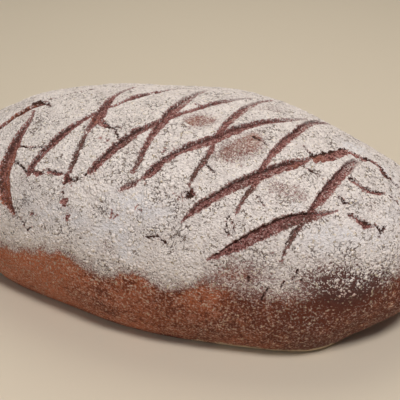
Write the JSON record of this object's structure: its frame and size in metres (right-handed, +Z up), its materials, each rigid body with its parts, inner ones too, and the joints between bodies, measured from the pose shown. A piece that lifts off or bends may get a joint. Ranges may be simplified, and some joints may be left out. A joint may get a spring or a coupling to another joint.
{
  "type": "rye bread loaf",
  "caption": "Long uncut rye loaf with a flat underside, a flour-dusted crown scored in crossing slashes, and bare brown flanks.",
  "frame": {"origin": "on the table under the middle of the loaf's box", "axes": "+X along the loaf to its fuller end, +Z up, -Y to the flank that the slashes lean towards"},
  "size_m": [0.2964, 0.1632, 0.106],
  "materials": {
    "crust": "baked brown rye crust, matte, with fine pale flour specks",
    "flour": "caked cream flour, dull and finely cracked"
  },
  "bodies": {
    "root": {"loaf": "crust"}
  },
  "joints": []
}
